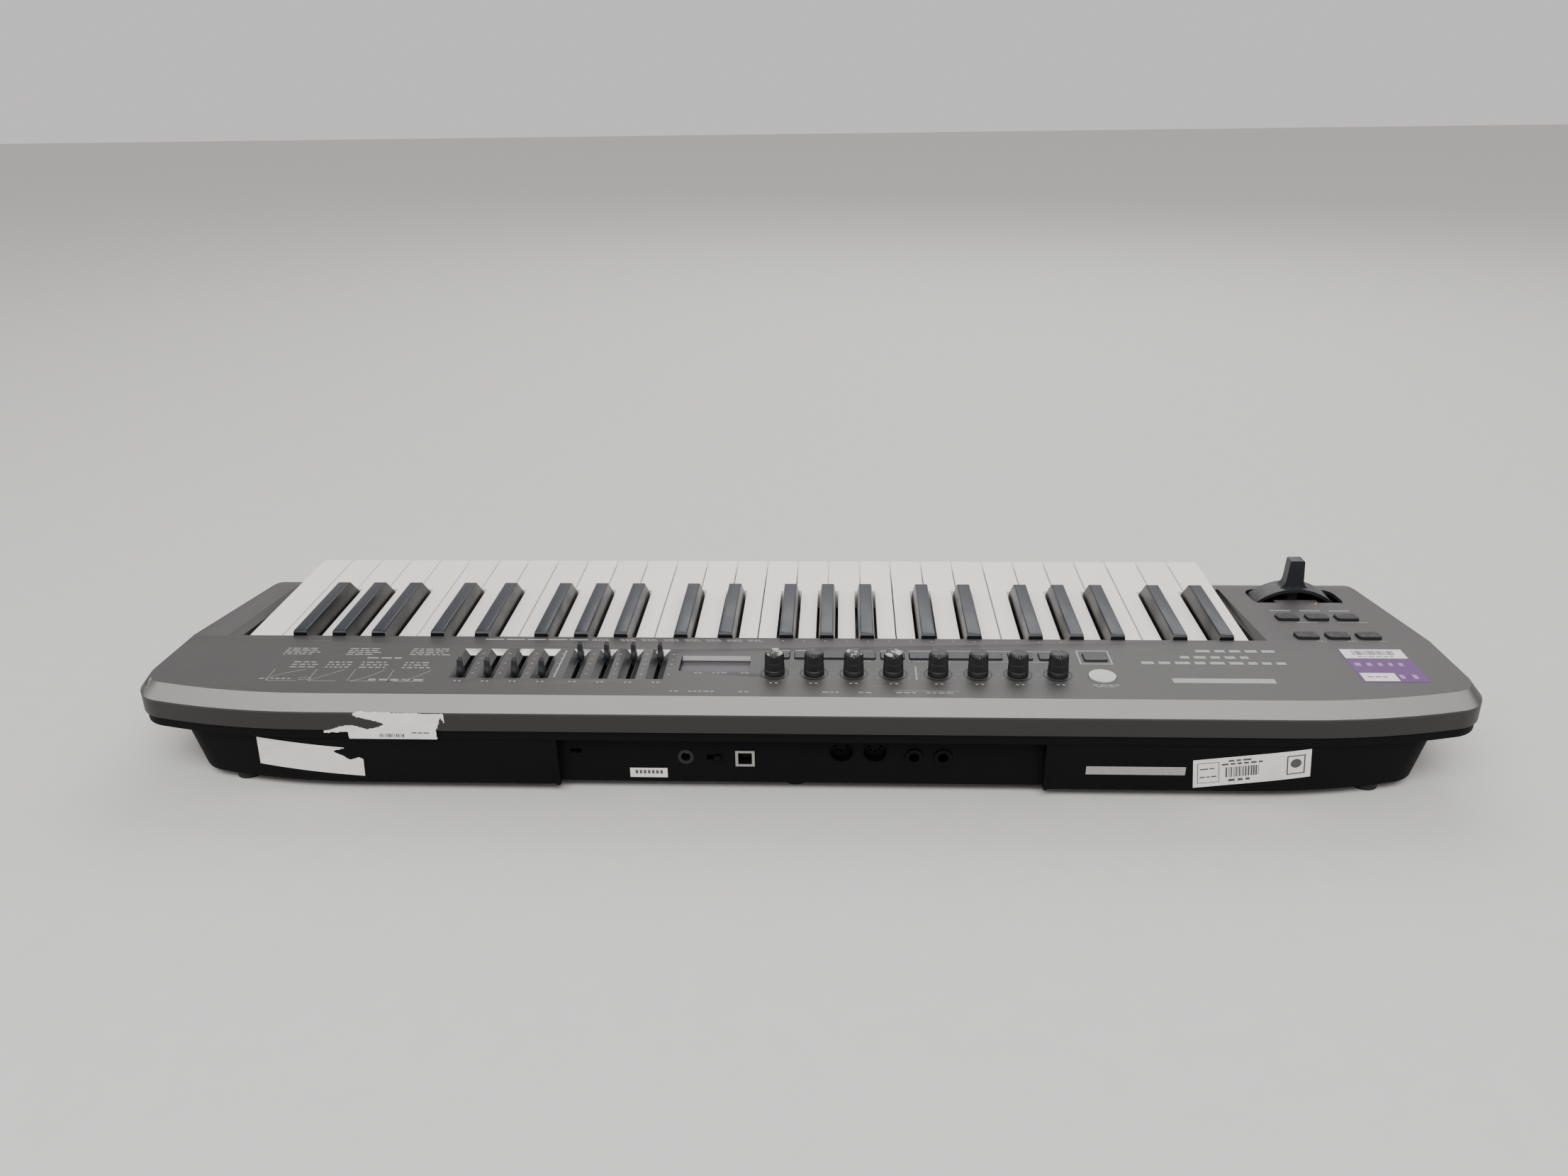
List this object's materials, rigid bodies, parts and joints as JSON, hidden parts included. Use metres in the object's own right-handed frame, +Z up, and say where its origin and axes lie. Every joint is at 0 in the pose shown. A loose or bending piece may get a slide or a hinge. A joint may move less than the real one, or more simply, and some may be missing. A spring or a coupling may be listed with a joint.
{
  "type": "midi keyboard",
  "caption": "Desktop music keyboard controller with hinged full-size keys, knobs, sliders, push buttons, a display window, a two-axis sprung lever and rear sockets.",
  "frame": {"origin": "on the surface under the rubber feet, midway across the case and midway front to back", "axes": "+X towards the player's right, -Y towards the player, +Y towards the rear sockets, +Z up"},
  "size_m": [0.8396, 0.246, 0.085],
  "materials": {
    "case_grey": "satin warm grey, finely grained",
    "case_black": "satin black",
    "steel": "bare sheet steel",
    "board_green": "soldermask green",
    "pot_metal": "plated",
    "display": "dark glossy window",
    "socket_metal": "plated",
    "socket_black": "satin black",
    "rubber": "matte black",
    "screw_steel": "black zinc",
    "key_white": "glossy off-white",
    "key_black": "satin blue-black",
    "control_black": "satin dark grey",
    "disc_grey": "satin light grey",
    "button_rubber": "matte dark grey",
    "lever_grey": "matte grey",
    "lever_black": "satin dark grey"
  },
  "bodies": {
    "case": {"top_case": "case_grey", "bottom_case": "case_black", "key_chassis": "steel", "contact_board": "board_green", "main_board": "board_green", "panel_board": "board_green", "panel_pots": "pot_metal", "display_module": "display", "usb_socket": "socket_metal", "dc_jack": "socket_black", "midi_sockets": "socket_black", "pedal_jacks": "socket_black", "rubber_feet": "rubber", "case_screws": "screw_steel", "lever_base": "lever_grey"},
    "c_keys": {"c_keys": "key_white"},
    "d_keys": {"d_keys": "key_white"},
    "e_keys": {"e_keys": "key_white"},
    "f_keys": {"f_keys": "key_white"},
    "g_keys": {"g_keys": "key_white"},
    "a_keys": {"a_keys": "key_white"},
    "b_keys": {"b_keys": "key_white"},
    "c_sharp_keys": {"c_sharp_keys": "key_black"},
    "d_sharp_keys": {"d_sharp_keys": "key_black"},
    "f_sharp_keys": {"f_sharp_keys": "key_black"},
    "g_sharp_keys": {"g_sharp_keys": "key_black"},
    "a_sharp_keys": {"a_sharp_keys": "key_black"},
    "knob_1": {"knob_1": "control_black"},
    "knob_2": {"knob_2": "control_black"},
    "knob_3": {"knob_3": "control_black"},
    "knob_4": {"knob_4": "control_black"},
    "knob_5": {"knob_5": "control_black"},
    "knob_6": {"knob_6": "control_black"},
    "knob_7": {"knob_7": "control_black"},
    "knob_8": {"knob_8": "control_black"},
    "slider_1": {"slider_1": "control_black"},
    "slider_2": {"slider_2": "control_black"},
    "slider_3": {"slider_3": "control_black"},
    "slider_4": {"slider_4": "control_black"},
    "slider_5": {"slider_5": "control_black"},
    "slider_6": {"slider_6": "control_black"},
    "slider_7": {"slider_7": "control_black"},
    "slider_8": {"slider_8": "control_black"},
    "button_1": {"button_1": "control_black"},
    "button_2": {"button_2": "control_black"},
    "button_3": {"button_3": "control_black"},
    "button_4": {"button_4": "control_black"},
    "button_5": {"button_5": "control_black"},
    "button_6": {"button_6": "control_black"},
    "button_7": {"button_7": "control_black"},
    "button_8": {"button_8": "control_black"},
    "button_9": {"button_9": "control_black"},
    "button_10": {"button_10": "control_black"},
    "square_button": {"square_button": "control_black"},
    "disc_button": {"disc_button": "disc_grey"},
    "cheek_buttons_front": {"cheek_buttons_front": "button_rubber"},
    "cheek_buttons_rear": {"cheek_buttons_rear": "button_rubber"},
    "lever_yoke": {"lever_yoke": "lever_grey"},
    "lever_stick": {"lever_stick": "lever_black"},
    "power_switch": {"power_switch": "socket_black"}
  },
  "joints": [
    {"name": "square_button_press", "type": "slide", "parent": "case", "child": "square_button", "axis": [0, 0, -1], "range_m": [0, 0.0008], "stiffness_N_per_m": 400, "springref_m": -0.0005},
    {"name": "disc_button_press", "type": "slide", "parent": "case", "child": "disc_button", "axis": [0, 0, -1], "range_m": [0, 0.0008], "stiffness_N_per_m": 400, "springref_m": -0.0005},
    {"name": "cheek_buttons_front_press", "type": "slide", "parent": "case", "child": "cheek_buttons_front", "axis": [0, 0, -1], "range_m": [0, 0.001], "stiffness_N_per_m": 400, "springref_m": -0.0005},
    {"name": "cheek_buttons_rear_press", "type": "slide", "parent": "case", "child": "cheek_buttons_rear", "axis": [0, 0, -1], "range_m": [0, 0.001], "stiffness_N_per_m": 400, "springref_m": -0.0005},
    {"name": "lever_bend", "type": "hinge", "parent": "case", "child": "lever_yoke", "pos_m": [-0.355, -0.066, 0.024], "axis": [0, 1, 0], "range_deg": [-18, 18], "stiffness_Nm_per_rad": 0.3},
    {"name": "lever_push", "type": "hinge", "parent": "lever_yoke", "child": "lever_stick", "pos_m": [-0.355, -0.066, 0.024], "axis": [-1, 0, 0], "range_deg": [0, 8], "stiffness_Nm_per_rad": 0.3, "springref_deg": -4.58},
    {"name": "power_switch_slide", "type": "slide", "parent": "case", "child": "power_switch", "axis": [1, 0, 0], "range_m": [0, 0.0044]},
    {"name": "c_key_hinge", "type": "hinge", "parent": "case", "child": "c_keys", "pos_m": [0, 0.076, 0.048], "axis": [1, 0, 0], "range_deg": [0, 2.9], "stiffness_Nm_per_rad": 5, "springref_deg": -3.44},
    {"name": "d_key_hinge", "type": "hinge", "parent": "case", "child": "d_keys", "pos_m": [0, 0.076, 0.048], "axis": [1, 0, 0], "range_deg": [0, 2.9], "stiffness_Nm_per_rad": 4, "springref_deg": -3.44},
    {"name": "e_key_hinge", "type": "hinge", "parent": "case", "child": "e_keys", "pos_m": [0, 0.076, 0.048], "axis": [1, 0, 0], "range_deg": [0, 2.9], "stiffness_Nm_per_rad": 4, "springref_deg": -3.44},
    {"name": "f_key_hinge", "type": "hinge", "parent": "case", "child": "f_keys", "pos_m": [0, 0.076, 0.048], "axis": [1, 0, 0], "range_deg": [0, 2.9], "stiffness_Nm_per_rad": 4, "springref_deg": -3.44},
    {"name": "g_key_hinge", "type": "hinge", "parent": "case", "child": "g_keys", "pos_m": [0, 0.076, 0.048], "axis": [1, 0, 0], "range_deg": [0, 2.9], "stiffness_Nm_per_rad": 4, "springref_deg": -3.44},
    {"name": "a_key_hinge", "type": "hinge", "parent": "case", "child": "a_keys", "pos_m": [0, 0.076, 0.048], "axis": [1, 0, 0], "range_deg": [0, 2.9], "stiffness_Nm_per_rad": 4, "springref_deg": -3.44},
    {"name": "b_key_hinge", "type": "hinge", "parent": "case", "child": "b_keys", "pos_m": [0, 0.076, 0.048], "axis": [1, 0, 0], "range_deg": [0, 2.9], "stiffness_Nm_per_rad": 4, "springref_deg": -3.44},
    {"name": "c_sharp_key_hinge", "type": "hinge", "parent": "case", "child": "c_sharp_keys", "pos_m": [0, 0.076, 0.048], "axis": [1, 0, 0], "range_deg": [0, 3.5], "stiffness_Nm_per_rad": 4, "springref_deg": -3.44},
    {"name": "d_sharp_key_hinge", "type": "hinge", "parent": "case", "child": "d_sharp_keys", "pos_m": [0, 0.076, 0.048], "axis": [1, 0, 0], "range_deg": [0, 3.5], "stiffness_Nm_per_rad": 4, "springref_deg": -3.44},
    {"name": "f_sharp_key_hinge", "type": "hinge", "parent": "case", "child": "f_sharp_keys", "pos_m": [0, 0.076, 0.048], "axis": [1, 0, 0], "range_deg": [0, 3.5], "stiffness_Nm_per_rad": 4, "springref_deg": -3.44},
    {"name": "g_sharp_key_hinge", "type": "hinge", "parent": "case", "child": "g_sharp_keys", "pos_m": [0, 0.076, 0.048], "axis": [1, 0, 0], "range_deg": [0, 3.5], "stiffness_Nm_per_rad": 4, "springref_deg": -3.44},
    {"name": "a_sharp_key_hinge", "type": "hinge", "parent": "case", "child": "a_sharp_keys", "pos_m": [0, 0.076, 0.048], "axis": [1, 0, 0], "range_deg": [0, 3.5], "stiffness_Nm_per_rad": 4, "springref_deg": -3.44},
    {"name": "knob_1_turn", "type": "hinge", "parent": "case", "child": "knob_1", "pos_m": [0.0132, 0.0845, 0.068], "axis": [0, 0, 1], "range_deg": [-150, 150]},
    {"name": "knob_2_turn", "type": "hinge", "parent": "case", "child": "knob_2", "pos_m": [-0.0115, 0.0845, 0.068], "axis": [0, 0, 1], "range_deg": [-150, 150]},
    {"name": "knob_3_turn", "type": "hinge", "parent": "case", "child": "knob_3", "pos_m": [-0.0362, 0.0845, 0.068], "axis": [0, 0, 1], "range_deg": [-150, 150]},
    {"name": "knob_4_turn", "type": "hinge", "parent": "case", "child": "knob_4", "pos_m": [-0.0609, 0.0845, 0.068], "axis": [0, 0, 1], "range_deg": [-150, 150]},
    {"name": "knob_5_turn", "type": "hinge", "parent": "case", "child": "knob_5", "pos_m": [-0.0888, 0.0845, 0.068], "axis": [0, 0, 1], "range_deg": [-150, 150]},
    {"name": "knob_6_turn", "type": "hinge", "parent": "case", "child": "knob_6", "pos_m": [-0.1135, 0.0845, 0.068], "axis": [0, 0, 1], "range_deg": [-150, 150]},
    {"name": "knob_7_turn", "type": "hinge", "parent": "case", "child": "knob_7", "pos_m": [-0.1382, 0.0845, 0.068], "axis": [0, 0, 1], "range_deg": [-150, 150]},
    {"name": "knob_8_turn", "type": "hinge", "parent": "case", "child": "knob_8", "pos_m": [-0.1629, 0.0845, 0.068], "axis": [0, 0, 1], "range_deg": [-150, 150]},
    {"name": "slider_1_travel", "type": "slide", "parent": "case", "child": "slider_1", "axis": [0, 1, 0], "range_m": [-0.026, 0.004]},
    {"name": "slider_2_travel", "type": "slide", "parent": "case", "child": "slider_2", "axis": [0, 1, 0], "range_m": [-0.026, 0.004]},
    {"name": "slider_3_travel", "type": "slide", "parent": "case", "child": "slider_3", "axis": [0, 1, 0], "range_m": [-0.026, 0.004]},
    {"name": "slider_4_travel", "type": "slide", "parent": "case", "child": "slider_4", "axis": [0, 1, 0], "range_m": [-0.026, 0.004]},
    {"name": "slider_5_travel", "type": "slide", "parent": "case", "child": "slider_5", "axis": [0, 1, 0], "range_m": [-0.003, 0.027]},
    {"name": "slider_6_travel", "type": "slide", "parent": "case", "child": "slider_6", "axis": [0, 1, 0], "range_m": [-0.003, 0.027]},
    {"name": "slider_7_travel", "type": "slide", "parent": "case", "child": "slider_7", "axis": [0, 1, 0], "range_m": [-0.003, 0.027]},
    {"name": "slider_8_travel", "type": "slide", "parent": "case", "child": "slider_8", "axis": [0, 1, 0], "range_m": [-0.003, 0.027]},
    {"name": "button_1_press", "type": "slide", "parent": "case", "child": "button_1", "axis": [0, 0, -1], "range_m": [0, 0.0008], "stiffness_N_per_m": 400, "springref_m": -0.0005},
    {"name": "button_2_press", "type": "slide", "parent": "case", "child": "button_2", "axis": [0, 0, -1], "range_m": [0, 0.0008], "stiffness_N_per_m": 400, "springref_m": -0.0005},
    {"name": "button_3_press", "type": "slide", "parent": "case", "child": "button_3", "axis": [0, 0, -1], "range_m": [0, 0.0008], "stiffness_N_per_m": 400, "springref_m": -0.0005},
    {"name": "button_4_press", "type": "slide", "parent": "case", "child": "button_4", "axis": [0, 0, -1], "range_m": [0, 0.0008], "stiffness_N_per_m": 400, "springref_m": -0.0005},
    {"name": "button_5_press", "type": "slide", "parent": "case", "child": "button_5", "axis": [0, 0, -1], "range_m": [0, 0.0008], "stiffness_N_per_m": 400, "springref_m": -0.0005},
    {"name": "button_6_press", "type": "slide", "parent": "case", "child": "button_6", "axis": [0, 0, -1], "range_m": [0, 0.0008], "stiffness_N_per_m": 400, "springref_m": -0.0005},
    {"name": "button_7_press", "type": "slide", "parent": "case", "child": "button_7", "axis": [0, 0, -1], "range_m": [0, 0.0008], "stiffness_N_per_m": 400, "springref_m": -0.0005},
    {"name": "button_8_press", "type": "slide", "parent": "case", "child": "button_8", "axis": [0, 0, -1], "range_m": [0, 0.0008], "stiffness_N_per_m": 400, "springref_m": -0.0005},
    {"name": "button_9_press", "type": "slide", "parent": "case", "child": "button_9", "axis": [0, 0, -1], "range_m": [0, 0.0008], "stiffness_N_per_m": 400, "springref_m": -0.0005},
    {"name": "button_10_press", "type": "slide", "parent": "case", "child": "button_10", "axis": [0, 0, -1], "range_m": [0, 0.0008], "stiffness_N_per_m": 400, "springref_m": -0.0005}
  ]
}
